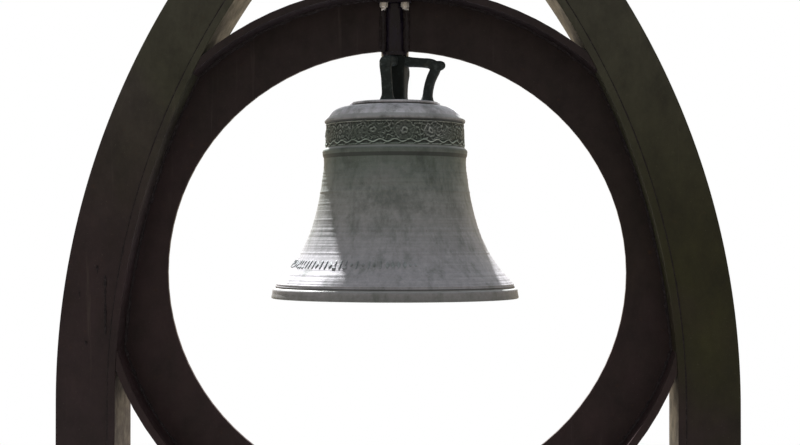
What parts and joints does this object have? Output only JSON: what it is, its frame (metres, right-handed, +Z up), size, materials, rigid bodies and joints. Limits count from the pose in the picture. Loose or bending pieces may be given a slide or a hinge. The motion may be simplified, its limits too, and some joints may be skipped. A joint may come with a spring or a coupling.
{
  "type": "church bell",
  "caption": "Bronze church bell with a relief frieze and a loop crown, hung dead from a short tube in a ring of plate inside a pointed steel arch on two legs.",
  "frame": {"origin": "on the ground, midway between the two base plates", "axes": "+Z up, +X to the viewer's right, -Y to the front, where the frieze and the right-hand crown loop are seen"},
  "size_m": [1.8136, 0.612, 2.7513],
  "materials": {
    "weathered_steel": "weathered dark brown with olive and purple patches, matt",
    "dark_steel": "very dark brown, matt, with rough weld beads",
    "hanger_steel": "dark purple-brown paint, satin",
    "zinc_hardware": "bright zinc, satin",
    "bell_bronze": "grey-green patina with fine turned lines",
    "crown_bronze": "dark green-black patina, rough cast",
    "forged_iron": "forged black with a little rust",
    "bush_brass": "machined, oiled",
    "pad_leather": "dark, greased"
  },
  "bodies": {
    "bell_and_stand": {"arch_back_plate_left": "weathered_steel", "arch_back_plate_right": "weathered_steel", "arch_front_plate_left": "weathered_steel", "arch_front_plate_right": "weathered_steel", "arch_inner_band_lower_left": "weathered_steel", "arch_inner_band_lower_right": "weathered_steel", "arch_inner_band_middle_left": "weathered_steel", "arch_inner_band_middle_right": "weathered_steel", "arch_inner_band_upper_left": "weathered_steel", "arch_inner_band_upper_right": "weathered_steel", "arch_outer_band_lower_left": "weathered_steel", "arch_outer_band_lower_right": "weathered_steel", "arch_outer_band_upper_left": "weathered_steel", "arch_outer_band_upper_right": "weathered_steel", "base_gusset_left_back": "weathered_steel", "base_gusset_left_front": "weathered_steel", "base_gusset_right_back": "weathered_steel", "base_gusset_right_front": "weathered_steel", "base_plate_left": "weathered_steel", "base_plate_right": "weathered_steel", "bell_body": "bell_bronze", "canon_front": "crown_bronze", "canon_rear": "crown_bronze", "canon_right": "crown_bronze", "clapper_pin": "zinc_hardware", "clapper_pin_nut": "zinc_hardware", "crown_pad": "pad_leather", "crown_post": "crown_bronze", "crown_staple": "forged_iron", "crown_washer": "forged_iron", "hanger_bolt_front_left": "zinc_hardware", "hanger_bolt_front_right": "zinc_hardware", "hanger_bolt_rear_left": "zinc_hardware", "hanger_bolt_rear_right": "zinc_hardware", "hanger_bottom_flange": "hanger_steel", "hanger_cheek_left": "hanger_steel", "hanger_cheek_right": "hanger_steel", "hanger_nut_front_left": "zinc_hardware", "hanger_nut_front_right": "zinc_hardware", "hanger_nut_rear_left": "zinc_hardware", "hanger_nut_rear_right": "zinc_hardware", "hanger_top_flange": "hanger_steel", "hanger_tube": "hanger_steel", "leg_back_plate_left": "weathered_steel", "leg_back_plate_right": "weathered_steel", "leg_front_plate_left": "weathered_steel", "leg_front_plate_right": "weathered_steel", "leg_inner_band_left": "weathered_steel", "leg_inner_band_right": "weathered_steel", "leg_outer_band_left": "weathered_steel", "leg_outer_band_right": "weathered_steel", "ring_rim_bottom": "dark_steel", "ring_rim_top": "dark_steel", "ring_web": "dark_steel", "rod_lock_nut": "zinc_hardware", "rod_nut": "zinc_hardware", "rod_washer": "zinc_hardware"},
    "clapper": {"clapper": "forged_iron", "clapper_bush": "bush_brass"}
  },
  "joints": [
    {"name": "clapper_swing", "type": "hinge", "parent": "bell_and_stand", "child": "clapper", "pos_m": [0, 0, 1.832], "axis": [0, 1, 0], "range_deg": [-29.4, 29.4]}
  ]
}
